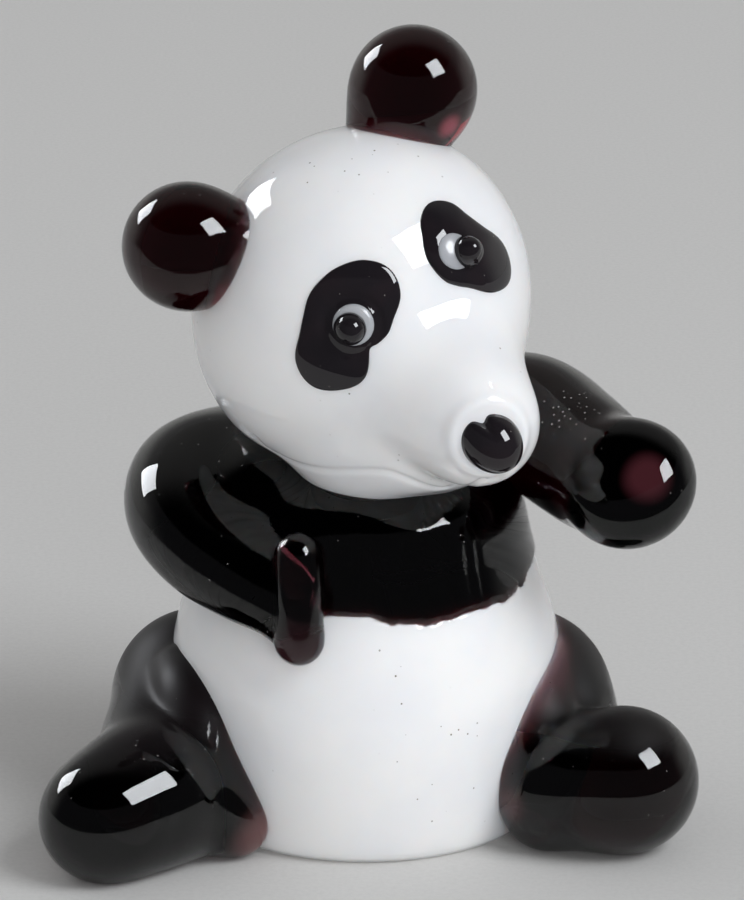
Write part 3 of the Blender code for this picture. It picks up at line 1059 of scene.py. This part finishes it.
@dataclass(kw_only=True)
class DarkSleeve(Gather):
    """The dark glass of the chest with the right arm drawn out of it."""

    torso: Torso
    name: str = "dark_sleeve_and_right_arm"
    nodes: tuple[str, ...] = ("collar", "right_arm")
    grain: float = 0.3
    shoulder: tuple[Row, ...] = (
        (20.0, 18.9), (22.0, 18.5), (25.0, 17.3), (28.5, 16.35), (31.5, 15.7), (33.4, 15.1),
        (34.8, 14.1), (36.0, 12.7), (37.0, 10.7), (37.6, 8.0), (37.8, 4.5), (37.9, 0.0),
    )
    right_arm: tuple[Row, ...] = (
        (-13.0, 6.5, 34.3, 5.3), (-17.7, 2.2, 33.9, 5.6), (-18.3, -4.2, 32.5, 5.6),
        (-15.9, -9.7, 30.4, 5.0), (-12.0, -14.0, 28.7, 4.3), (-8.6, -16.5, 26.9, 3.3),
        (-6.9, -17.0, 24.4, 2.4),
    )
    shoulder_pad: tuple[Row, ...] = ((-12.0, 1.0, 35.0, 5.0), (-9.6, -5.6, 35.4, 4.4))
    core: Row = (0.0, 0.0, 30.6, 7.0)
    rough_rings: tuple[Row, ...] = ((11.8, 32.4), (12.6, 29.5), (13.2, 27.2), (7.0, 33.0))
    rough_count: int = 28
    rough_ball: float = 3.8
    overlay: float = 0.35
    lip: float = 0.3
    lip_under: float = 1.5
    hem: float = 23.4
    tool_marks: tuple[Row, ...] = (
        (-0.06, 0.035, 0.18), (0.03, 0.02, 0.08), (0.225, 0.03, 0.10), (0.50, 0.05, 0.16),
        (0.66, 0.03, 0.14), (0.74, 0.02, 0.1), (-0.35, 0.03, 0.08),
    )
    marks_foot: float = 2.0
    marks_top: float = 34.3
    marks_fade: float = 4.0
    pad_seam: float = 4.0
    seam: float = 7.0
    belly_seam: float = 0.4
    seam_foot: float = 25.5
    seam_rise: float = 7.0
    table_foot: float = 18.0
    table_top: float = 46.0
    table_reach: float = 36.0
    table_step: float = 0.1
    table: np.ndarray = field(init=False)

    def __post_init__(self) -> None:
        """Tables the distance from the shoulder's outline, by height and radius."""
        curve = curve_through(self.shoulder, 8)
        heights, radii = np.meshgrid(
            np.arange(self.table_foot, self.table_top, self.table_step),
            np.arange(0.0, self.table_reach, self.table_step), indexing="ij",
        )
        nearest = np.full(heights.shape, np.inf)
        for first, last in zip(curve, curve[1:]):
            along = last - first
            out = np.stack((heights - first[0], radii - first[1]), axis=-1)
            share = np.clip(out @ along / (along @ along), 0.0, 1.0)[..., None]
            away = out - share * along
            distance = np.linalg.norm(away, axis=-1)
            side = away[..., 1] * along[0] - away[..., 0] * along[1]
            nearest = np.where(
                distance < np.abs(nearest), np.where(side > 0.0, distance, -distance), nearest
            )
        self.table = nearest * MM

    def from_outline(self, height: np.ndarray, radius: np.ndarray) -> np.ndarray:
        """Reads the table.

        Args:
            height: Heights in metres.
            radius: Distances from the axis in metres.

        Returns:
            Distances from the shoulder's outline, negative inside.
        """
        rows, columns = self.table.shape
        row = np.clip((height / MM - self.table_foot) / self.table_step, 0.0, rows - 1.001)
        column = np.clip(radius / MM / self.table_step, 0.0, columns - 1.001)
        low, left = row.astype(int), column.astype(int)
        up, right = row - low, column - left
        below = self.table[low, left] * (1.0 - right) + self.table[low, left + 1] * right
        above = self.table[low + 1, left] * (1.0 - right) + self.table[low + 1, left + 1] * right
        return below * (1.0 - up) + above * up

    def chest(self, points: Points) -> np.ndarray:
        """Distance from the dark glass round the chest, without the arm.

        Args:
            points: The places.

        Returns:
            The distances.
        """
        height = points[:, 2]
        angle = np.arctan2(points[:, 1], points[:, 0])
        side = self.from_outline(height, np.hypot(points[:, 0], points[:, 1]))
        above = height - self.torso.edge(angle)
        side -= self.overlay * MM * np.clip(above / (self.lip * MM), -self.lip_under, 1.0)
        fade = smooth_step(above / (self.marks_foot * MM))
        fade *= smooth_step((self.marks_top * MM - height) / (self.marks_fade * MM))
        for place, width, depth in self.tool_marks:
            side += depth * MM * fade * np.exp(-((from_front(angle) - place) / width) ** 2)
        return np.maximum(side, self.hem * MM - height)

    def form(self) -> Form:
        """Joins the chest and the arm, with a fillet that fades out over the belly.

        Returns:
            The form.
        """
        chest = fused(self.pad_seam, self.chest, run_of_glass(self.shoulder_pad))
        arm = run_of_glass(self.right_arm)

        def form(points: Points) -> np.ndarray:
            """Distances from the sleeve and its arm.

            Args:
                points: The places in metres.

            Returns:
                The distances, negative inside.
            """
            height = (points[:, 2] / MM - self.seam_foot) / self.seam_rise
            width = (self.belly_seam + self.seam * smooth_step(height)) * MM
            return melted(chest(points), arm(points), width)

        return form

    def rough(self) -> Sequence[Row]:
        """Sets rings of balls round the chest and more along the arm.

        Returns:
            The balls.
        """
        rows = [self.core]
        for angle in np.arange(self.rough_count) * FULL_TURN / self.rough_count:
            for reach, level in self.rough_rings:
                place = (reach * math.cos(angle), reach * math.sin(angle), level)
                rows.append(place + (self.rough_ball,))
        for limb in (self.right_arm, self.shoulder_pad):
            rows += list(curve_through(limb, 4))
        return rows


@dataclass(kw_only=True)
class RaisedArm(Gather):
    """The left arm, which ends in a bulb with a pressed face."""

    name: str = "left_arm_and_bulb"
    nodes: tuple[str, ...] = ("left_arm",)
    grain: float = 0.26
    arm: tuple[Row, ...] = (
        (11.0, 9.5, 36.8, 6.3), (16.2, 5.5, 38.9, 6.6), (20.6, -2.0, 37.9, 6.5),
        (23.0, -6.6, 37.2, 6.1), (24.4, -9.0, 37.1, 5.6),
    )
    bulb: Row = (25.7, -11.2, 37.5)
    bulb_axis: Row = (-0.22, -0.72, 0.66)
    bulb_radii: Row = (6.7, 6.65, 5.2)
    rough_bulb: float = 6.0
    hollows: tuple[Row, ...] = ((23.6, -15.4, 40.7, 1.3, 3.3), (21.6, -14.5, 40.3, 0.6, 1.1))
    seam: float = 2.0

    def rough(self) -> Sequence[Row]:
        """Balls along the arm and one for the bulb."""
        return [*curve_through(self.arm, 4), self.bulb + (self.rough_bulb,)]

    def form(self) -> Form:
        """The arm and its bulb, with the hollows pressed in."""
        bulb = egg(self.bulb, self.bulb_axis, self.bulb_radii)
        return pressed(fused(self.seam, run_of_glass(self.arm), bulb), self.hollows)


@dataclass(kw_only=True)
class Head(Gather):
    """The white skull and snout, with the neck and jaw below them."""

    name: str = "head_and_neck"
    nodes: tuple[str, ...] = ("head",)
    slot: Slot = Slot.WHITE
    grain: float = 0.26
    centre: Row = (-0.5, -1.5, 53.3)
    long_axis: Row = (0.47, 0.0, 0.88)
    radii: Row = (16.5, 16.9, 17.7)
    side: Row = (0.82, 0.0, 0.57)
    jaw: tuple[Row, ...] = ((1.4, -3.8, 45.5, 12.6), (5.5, -9.5, 44.8, 9.2))
    snout: tuple[Row, ...] = (
        (3.6, -7.0, 50.2, 10.7), (7.4, -13.2, 47.9, 8.2), (10.7, -18.0, 45.8, 6.1),
    )
    bridge: float = 5.2
    jaw_seam: float = 1.5
    touches: tuple[Row, ...] = (
        (-1.9, -7.6, 33.9, -0.55, 3.5), (6.3, -12.3, 36.1, 0.8, 4.0), (-8.0, -6.4, 37.5, 0.5, 3.5),
        (3.6, -11.6, 34.4, 0.2, 3.0), (-10.4, -6.0, 66.4, -0.35, 3.2),
        (5.6, -12.0, 66.0, 0.35, 5.5), (7.4, -17.4, 57.4, 0.5, 3.2),
        (10.6, -22.0, 51.6, -0.7, 4.0),
    )
    nose_centre: Row = (11.8, -23.6, 46.1)
    rim: float = 3.7
    rim_rise: float = 0.35
    rim_width: float = 0.7
    mouth: tuple[Row, ...] = (
        (-10.9, -9.4, 41.7), (-9.9, -8.4, 40.3), (-8.2, -9.6, 39.7), (-6.4, -11.6, 39.5),
        (-3.5, -14.0, 39.7), (-0.9, -15.6, 40.2), (1.9, -16.9, 40.6), (3.8, -17.1, 40.0),
        (5.8, -16.2, 38.9), (7.8, -14.7, 38.2), (9.0, -17.8, 39.0), (10.3, -20.9, 40.6),
        (11.2, -22.2, 41.6),
    )
    mouth_depth: float = 0.55
    mouth_width: float = 0.35

    def skull(self) -> Form:
        """Skull and snout."""
        skull = egg(self.centre, self.long_axis, self.radii)
        return fused(self.bridge, skull, run_of_glass(self.snout))

    def whole(self) -> Form:
        """The head with its jaw, dented and swollen a little by hand."""
        return pressed(fused(self.jaw_seam, self.skull(), run_of_glass(self.jaw)), self.touches)

    def form(self) -> Form:
        """The head with a rim round the nose and the mouth's line drawn in."""
        rimmed = ringed(self.whole(), self.nose_centre, self.rim, self.rim_rise, self.rim_width)
        return creased(rimmed, self.mouth, self.mouth_depth, self.mouth_width)

    def rough(self) -> Sequence[Row]:
        """Balls for the skull, the jaw and the snout."""
        skull = self.centre + (self.radii[1],)
        return [skull, *curve_through(self.jaw, 6), *curve_through(self.snout, 8)]


@dataclass(kw_only=True)
class Knob(Gather):
    """A round piece of dark glass drawn out of a foot, such as an ear."""

    grain: float = 0.24
    rows: tuple[Row, ...]

    def rough(self) -> Sequence[Row]:
        """Balls along it."""
        return list(curve_through(self.rows, 5))

    def form(self) -> Form:
        """The bar that they melt into."""
        return run_of_glass(self.rows)


@dataclass(kw_only=True)
class Leg(Gather):
    """A splayed leg that hugs the body's side: bars of glass and the seams between them."""

    grain: float = 0.28
    parts: tuple[tuple[Row, ...], ...]
    seams: tuple[float, ...]

    def rough(self) -> Sequence[Row]:
        """Balls along its bars."""
        return [row for part in self.parts for row in curve_through(part, 4)]

    def form(self) -> Form:
        """Melts the bars together and cuts them flat on the floor.

        Returns:
            The form.
        """
        form = run_of_glass(self.parts[0])
        for part, seam in zip(self.parts[1:], self.seams):
            form = fused(seam, form, run_of_glass(part))
        return above_floor(form)


EDGE = 1e-5
ROUND = 0.5
RING_STEPS = 8


def even(rise: float) -> Thickness:
    """The same thickness everywhere, in millimetres."""
    return lambda x, y: np.full(len(x), rise * MM)


@dataclass
class Drop:
    """Glass dropped on the head: an outline round a place, and layers on it."""

    head: Head
    spot: Row
    reach: float = 40.0
    halvings: int = 32
    skin: Form = field(init=False)
    normal: np.ndarray = field(init=False)
    origin: np.ndarray = field(init=False)
    across: np.ndarray = field(init=False)
    up: np.ndarray = field(init=False)
    top: Thickness = field(init=False)

    def __post_init__(self) -> None:
        """Finds the drop's own directions."""
        centre = np.array(self.head.centre) * MM
        self.skin = self.head.whole()
        self.normal = unit(np.array(self.spot) * MM - centre)
        self.origin = centre + self.normal * self.reach * MM
        side = np.array(self.head.side)
        self.across = unit(side - self.normal * (self.normal @ side))
        self.up = np.cross(self.normal, self.across)
        if self.up[2] < 0.0:
            self.up = -self.up
        self.top = even(0.0)

    def land(self, across: np.ndarray, up: np.ndarray, height: np.ndarray) -> Points:
        """Finds places over the head's skin.

        Args:
            across: Offsets to the side.
            up: Offsets upward.
            height: Heights over the skin.

        Returns:
            The places.
        """
        starts = self.origin + across[:, None] * self.across + up[:, None] * self.up
        low = np.zeros(len(across))
        high = np.full(len(across), self.reach * MM)
        for _ in range(self.halvings):
            middle = (low + high) / 2.0
            over = self.skin(starts - middle[:, None] * self.normal) > height
            low = np.where(over, middle, low)
            high = np.where(over, high, middle)
        return starts - low[:, None] * self.normal

    def lay(
        self, name: str, node: str, radius: Outline, rise: Thickness, dome: float,
        material: bpy.types.Material, slot: Slot, segments: int = 96, rings: int = 48,
        centre: tuple[float, float] = (0.0, 0.0), sunk: float = 0.5, full: float = 0.0,
    ) -> None:
        """Adds a layer and makes it the top of the stack.

        Args:
            name: The piece's name.
            node: The CAD node that it replaces.
            radius: The outline's radius at an angle, in metres.
            rise: The layer's thickness at a place, in metres.
            dome: 0.5 gives a round dome and less a flatter one with a round rim.
            material: Its glass.
            slot: The record's slot.
            segments: Points round it.
            rings: Rings from its middle above to its middle below.
            centre: Its middle, in millimetres from the drop's spot.
            sunk: How deep it reaches into what it lies on.
            full: The radius of a full round dome that notches only bite into at its rim.
        """
        Bench.clear()
        bpy.ops.mesh.primitive_uv_sphere_add(segments=segments, ring_count=rings, radius=1.0)
        piece = bpy.context.object
        ball = Bench.points_of(piece)
        around = np.arctan2(ball[:, 1], ball[:, 0])
        spread = np.hypot(ball[:, 0], ball[:, 1]) * radius(around)
        middle_x, middle_y = centre[0] * MM, centre[1] * MM
        across = middle_x + spread * np.cos(around)
        up = middle_y + spread * np.sin(around)
        below = self.top

        def thickness(x: np.ndarray, y: np.ndarray) -> np.ndarray:
            """The layer's thickness.

            Args:
                x: Offsets to the side.
                y: Offsets upward.

            Returns:
                The thickness, none beyond the outline.
            """
            x, y = x - middle_x, y - middle_y
            rim = radius(np.arctan2(y, x))
            share = (np.hypot(x, y) / rim) ** 2
            if full:
                reach = np.minimum(rim / (full * MM), 1.0) ** 2
                share = share * reach + (1.0 - reach) * share ** 4
            return rise(x, y) * np.maximum(1.0 - share, 0.0) ** dome

        over, under = ball[:, 2] > EDGE, ball[:, 2] < -EDGE
        height = below(across, up) + np.where(over, thickness(across, up), 0.0)
        height += np.where(under, ball[:, 2] * sunk * MM, 0.0)
        Bench.move_points(piece, self.land(across, up, height))
        self.top = lambda x, y: below(x, y) + thickness(x, y)
        Bench.finish(piece, name, material, slot, [node])


def ring_through(radii: Sequence[float]) -> Outline:
    """Gives a smooth outline through radii spread evenly round a place.

    Args:
        radii: The radii in millimetres, from the angle -pi on.

    Returns:
        The outline's radius for an angle.
    """
    around = tuple(radii[-2:]) + tuple(radii) + tuple(radii[:3])
    curve = curve_through([(radius,) for radius in around], RING_STEPS)[:, 0] * MM
    step = FULL_TURN / len(radii)
    angles = step * (np.arange(len(curve)) / RING_STEPS - 2.0) - math.pi
    return lambda angle: np.interp(angle, angles, curve)


def round_outline(size: float) -> Outline:
    """A round outline of one radius in millimetres."""
    return lambda angle: np.full(len(angle), size * MM)


@dataclass(kw_only=True)
class Eye:
    """A dark patch with a ring round the eye, a white dot and a dark bead."""

    label: str
    spot: Row
    outline: tuple[float, ...]
    patch_rise: float = 0.45
    patch_dome: float = 0.24
    moat: float = 2.75
    moat_depth: float = 0.28
    moat_width: float = 0.5
    warts: tuple[Row, ...] = ()
    white: float = 2.0
    white_rise: float = 0.5
    white_dome: float = 0.4
    white_shift: tuple[float, float] = (0.0, 0.0)
    pupil: float = 1.6
    pupil_rise: float = 1.5
    pupil_shift: tuple[float, float] = (0.0, 0.0)
    sunk: float = 0.3

    def patch_height(self, x: np.ndarray, y: np.ndarray) -> np.ndarray:
        """The patch's thickness: a moat round the eye, and warts.

        Args:
            x: Offsets to the side in metres.
            y: Offsets upward in metres.

        Returns:
            The thickness.
        """
        moat = np.exp(-((np.hypot(x, y) / MM - self.moat) / self.moat_width) ** 2)
        height = self.patch_rise - self.moat_depth * moat
        for across, up, rise, width in self.warts:
            square = (x / MM - across) ** 2 + (y / MM - up) ** 2
            height += rise * np.exp(-square / width ** 2)
        return height * MM

    def build(self, head: Head, dark: bpy.types.Material, white: bpy.types.Material) -> None:
        """Makes the eye.

        Args:
            head: The head that it lies on.
            dark: The glass of its patch and bead.
            white: The glass of its dot.
        """
        drop = Drop(head, self.spot)
        drop.lay(
            f"{self.label}_eye_patch_glass", f"{self.label}_eye_patch", ring_through(self.outline),
            self.patch_height, self.patch_dome, dark, Slot.DARK, segments=200, rings=96,
        )
        drop.lay(
            f"{self.label}_eye_white_dot", f"{self.label}_eye_white", round_outline(self.white),
            even(self.white_rise), self.white_dome, white, Slot.WHITE, centre=self.white_shift,
            sunk=self.sunk,
        )
        drop.lay(
            f"{self.label}_pupil_bead", f"{self.label}_pupil", round_outline(self.pupil),
            even(self.pupil_rise), ROUND, dark, Slot.DARK, centre=self.pupil_shift,
            sunk=self.sunk,
        )


@dataclass
class Nose:
    """A dark drop on the tip of the snout, notched above like a heart."""

    head: Head
    spot: Row = (12.65, -24.55, 45.25)
    size: float = 2.8
    rise: float = 2.4
    notch_angle: float = 1.28
    notch_depth: float = 0.2
    notch_width: float = 0.2

    def build(self, material: bpy.types.Material) -> None:
        """Makes the nose.

        Args:
            material: Its glass.
        """
        def radius(angle: np.ndarray) -> np.ndarray:
            """The notched outline's radius.

            Args:
                angle: Angles round the drop.

            Returns:
                The radii in metres.
            """
            away = (angle - self.notch_angle) / self.notch_width
            notch = self.notch_depth * np.exp(-away ** 2)
            return self.size * MM * (1.0 - notch)

        drop = Drop(self.head, self.spot)
        drop.lay(
            "nose_drop", "nose", radius, even(self.rise), ROUND, material, Slot.DARK,
            full=self.size,
        )


# The studio


@dataclass(frozen=True)
class SoftBox:
    """A square soft box that points at the figure.

    Towards is the direction from the figure to it, distance is in metres, spread is its side
    as a share of the distance, and radiance is how bright its face is. One that shines is seen
    in reflections, and any other lights matt surfaces.
    """

    name: str
    towards: Row
    distance: float
    spread: float
    radiance: float
    shine: bool
    tint: Row = (0.93, 0.96, 1.0)
    aim: Row = (0.0, 0.0, 0.04)

    def hang(self) -> None:
        """Adds the light."""
        side = self.spread * self.distance
        light = bpy.data.lights.new(self.name, "AREA")
        light.shape = "SQUARE"
        light.size = side
        light.energy = self.radiance * math.pi * side ** 2
        light.color = self.tint
        lamp = bpy.data.objects.new(self.name, light)
        bpy.context.collection.objects.link(lamp)
        way = unit(self.towards)
        lamp.location = way * self.distance + np.array(self.aim)
        lamp.rotation_euler = Vector(way).to_track_quat("Z", "Y").to_euler()
        lamp.visible_camera = False
        lamp.visible_diffuse = not self.shine
        lamp.visible_glossy = self.shine
        lamp.visible_transmission = self.shine


LEFT, RIGHT, FRONT = (-0.72, 0.49, 0.49), (0.60, -0.40, 0.695), (0.25, -1.0, 0.12)


@dataclass
class Studio:
    """The pale floor, the lights and the camera at the photograph's angle."""

    elevation: float = 18.0
    target: Row = (0.6, 0.0, 37.3)
    distance: float = 500.0
    lens: float = 200.0
    sensor: float = 36.0
    floor_size: float = 3.0
    floor_front: float = 0.10
    backdrop: Colour = (0.50, 0.50, 0.49, 1.0)
    room: Colour = (0.07, 0.07, 0.077, 1.0)
    ceiling: Colour = (0.004, 0.004, 0.005, 1.0)
    on_matt: Colour = (0.34, 0.34, 0.345, 1.0)
    pale_behind: Row = (-0.05, 0.45)
    dim_upward: Row = (0.22, 0.5)
    dim_share: float = 0.6
    black_upward: Row = (0.56, 0.60)
    boxes: tuple[SoftBox, ...] = (
        SoftBox("left soft box", LEFT, 1.5, 0.40, 12.5, True),
        SoftBox("right soft box", RIGHT, 1.5, 0.44, 16.0, True),
        SoftBox("left fill", LEFT, 3.0, 0.8, 0.45, False),
        SoftBox("right key", RIGHT, 3.0, 0.5, 6.6, False),
        SoftBox("front fill", FRONT, 3.0, 0.7, 2.9, False),
    )

    def add_floor(self) -> None:
        """Lays the floor, which ends a little way in front of the figure."""
        Bench.clear()
        bpy.ops.mesh.primitive_plane_add(
            size=self.floor_size, location=(0.0, self.floor_size / 2.0 - self.floor_front, 0.0)
        )
        floor = bpy.context.object
        Bench.settle_place(floor)
        floor.name = "floor"
        floor.data.materials.append(Paper("pale paper").material())

    def add_world(self) -> None:
        """Makes the room: black above in front, dim below, pale behind."""
        world = bpy.data.worlds.new("studio")
        bpy.context.scene.world = world
        board = Board(world)
        way = board.wire("ShaderNodeTexCoord", {}, {}, "Generated")
        _, back, height = board.split(way)
        lower = 1.0 - height.rises(*self.dim_upward) * self.dim_share
        behind = back.rises(*self.pale_behind) * lower
        above = height.rises(*self.black_upward)
        front = board.blend(above, self.room, self.ceiling)
        colour = board.blend(behind, front, self.backdrop)
        rays = board.node("ShaderNodeLightPath", {}, {})
        seen = Wire(board, rays.outputs["Is Camera Ray"])
        matt = Wire(board, rays.outputs["Is Diffuse Ray"])
        colour = board.blend(matt, colour, self.on_matt)
        colour = board.blend(seen, colour, self.backdrop)
        shader = board.wire("ShaderNodeBackground", {}, {"Color": colour, "Strength": 1.0})
        board.node("ShaderNodeOutputWorld", {}, {"Surface": shader})

    def add_camera(self) -> None:
        """Sets the camera."""
        camera = bpy.data.objects.new("camera", bpy.data.cameras.new("camera"))
        bpy.context.collection.objects.link(camera)
        camera.data.lens = self.lens
        camera.data.sensor_width = self.sensor
        tilt = math.radians(self.elevation)
        back = np.array((0.0, -math.cos(tilt), math.sin(tilt)))
        camera.location = (np.array(self.target) + back * self.distance) * MM
        camera.rotation_euler = (math.pi / 2.0 - tilt, 0.0, 0.0)
        camera.data.clip_start = 0.01
        bpy.context.scene.camera = camera

    def build(self) -> None:
        """Sets up the studio."""
        self.add_floor()
        self.add_world()
        for box in self.boxes:
            box.hang()
        self.add_camera()
        bpy.context.scene.view_settings.view_transform = "Standard"


# This figure's glass and pieces

WHITE_GLASS = OpalGlass("white opal glass")
# Painted shade: the eye dots are white glass given a grey colour, standing in for the shade that
# falls on them.
EYE_GLASS_WITH_PAINTED_SHADE = OpalGlass(
    "eye white glass with painted shade", colour=(0.46, 0.46, 0.47, 1.0), shade=(0.41, 0.41, 0.43, 1.0),
    roughness=0.2, dustiness=0.3,
)
BLACK_GLASS = BlackGlass("black glass")
SLEEVE_GLASS = PurpleGlass("deep purple glass", density=2600.0)
# Painted glow: emission on the bulb's pressed face and low on the paw stands in for red light
# shining through the glass.
ARM_GLASS = PurpleGlass(
    "thinner purple glass with painted glow", density=680.0, seeds=((19.6, -5.6, 42.9, 1.5, 4.5),),
    painted_glow_places=((27.2, -16.0, 39.9, 1.2, 3.2, 0.15), (-6.5, -20.0, 23.6, 0.5, 3.5, 0.035)),
)
# Painted glow: emission at listed places on both ears stands in for red light shining through the
# glass.
EAR_GLASS = PurpleGlass(
    "clearer purple glass with painted glow", density=720.0,
    painted_glow_places=(
        (3.0, -1.5, 68.0, 1.5, 5.2, 0.25), (8.2, -2.4, 71.2, 0.3, 1.8, 0.6),
        (-13.0, -9.0, 55.5, 1.0, 5.0, 0.05),
    ),
)
# The colour of the legs' painted glow: emission near each toe that stands in for light shining
# through the glass.
LEG_PAINTED_GLOW: Colour = (0.21, 0.10, 0.10, 1.0)
RIGHT_LEG_GLASS = PurpleGlass(
    "dull purple glass with painted glow", density=760.0, smeared=0.45, sheen=0.14, glow=LEG_PAINTED_GLOW,
    painted_glow_places=((-11.4, -17.0, 3.0, 0.8, 3.4, 0.42),),
)
LEFT_LEG_GLASS = PurpleGlass(
    "smeared purple glass with painted glow", density=760.0, smeared=0.55, glow=LEG_PAINTED_GLOW,
    painted_glow_places=((14.2, -15.6, 5.5, 0.6, 2.6, 0.16),),
)

PAW = Knob(
    name="right_paw", nodes=(), grain=0.16,
    rows=(
        (-6.6, -16.8, 32.0, 2.4), (-6.5, -18.0, 28.4, 2.55), (-6.5, -18.6, 26.0, 2.35),
        (-6.5, -18.5, 23.8, 2.6),
    ),
)
EARS = (
    Knob(
        name="right_ear_knob", nodes=("right_ear",),
        rows=((-10.8, -6.0, 59.2, 5.0), (-13.4, -6.4, 59.8, 5.0), (-17.45, -7.0, 60.4, 6.45)),
    ),
    Knob(
        name="left_ear_knob", nodes=("left_ear",),
        rows=((2.8, 1.5, 68.2, 4.9), (3.3, 1.8, 70.4, 5.2), (4.65, 2.2, 73.9, 6.45)),
    ),
)
RIGHT_LEG = Leg(
    name="right_leg_and_foot", nodes=("right_leg",), seams=(1.4, 6.0),
    parts=(
        (
            (-17.0, 3.0, 10.2, 8.9), (-19.0, -2.6, 9.6, 7.0), (-20.5, -8.0, 8.6, 6.2),
            (-21.6, -13.4, 7.2, 6.1), (-25.75, -20.2, 5.85, 6.5),
        ),
        (
            (-18.6, -4.0, 14.9, 3.2), (-17.6, -8.5, 14.0, 3.6), (-16.3, -11.3, 12.2, 3.5),
            (-15.2, -13.2, 8.8, 3.1), (-13.8, -14.9, 5.0, 2.5),
        ),
        ((-21.0, -16.8, 6.5, 6.5), (-16.6, -15.2, 5.0, 4.7), (-12.6, -15.5, 3.0, 2.8)),
    ),
)
LEFT_LEG = Leg(
    name="left_leg_and_foot", nodes=("left_leg",), seams=(2.0, 3.0),
    parts=(
        ((16.1, 2.0, 10.6, 8.8), (18.4, -3.0, 9.4, 7.2)),
        ((17.9, -3.0, 16.6, 2.0), (17.0, -8.2, 12.3, 3.95), (16.9, -11.0, 7.6, 4.8)),
        ((25.75, -12.9, 7.0, 7.5), (21.5, -12.9, 6.5, 6.5), (17.9, -12.9, 4.3, 4.6)),
    ),
)
EYES = (
    Eye(
        label="right", spot=(-1.3, -19.8, 55.9),
        outline=(
            6.71, 7.27, 6.45, 5.25, 2.85, 2.96, 3.48, 4.05, 5.5, 6.39, 6.31, 5.79, 5.36, 5.07,
            4.85, 5.3,
        ),
        warts=((0.3, -3.7, 0.5, 0.75), (-2.2, -2.0, -0.12, 0.6)),
        white_shift=(0.15, 0.1), pupil_shift=(-0.3, 0.0),
    ),
    Eye(
        label="left", spot=(9.0, -15.0, 62.3),
        outline=(
            2.47, 2.54, 2.8, 3.14, 3.94, 6.1, 7.92, 7.5, 5.6, 5.09, 5.6, 5.5, 4.47, 3.29, 2.82,
            2.6,
        ),
        patch_rise=0.8, patch_dome=0.5, moat_depth=0.0, white=1.8, white_rise=0.3,
        white_shift=(0.2, 0.05), pupil_rise=1.8, pupil_shift=(1.2, -0.7),
    ),
)


def main() -> None:
    """Builds the figure and its studio."""
    white, black, eye_white = (
        glass.material() for glass in (WHITE_GLASS, BLACK_GLASS, EYE_GLASS_WITH_PAINTED_SHADE)
    )
    purple = ARM_GLASS.material()
    torso, head = Torso(), Head()
    torso.build(white)
    DarkSleeve(torso=torso).build(SLEEVE_GLASS.material())
    RaisedArm().build(purple)
    PAW.build(purple)
    head.build(white)
    ear_purple = EAR_GLASS.material()
    for ear in EARS:
        ear.build(ear_purple)
    RIGHT_LEG.build(RIGHT_LEG_GLASS.material())
    LEFT_LEG.build(LEFT_LEG_GLASS.material())
    for eye in EYES:
        eye.build(head, black, eye_white)
    Nose(head).build(black)
    Studio().build()


if __name__ == "__main__":
    logging.basicConfig(level=logging.INFO, format="%(message)s")
    main()
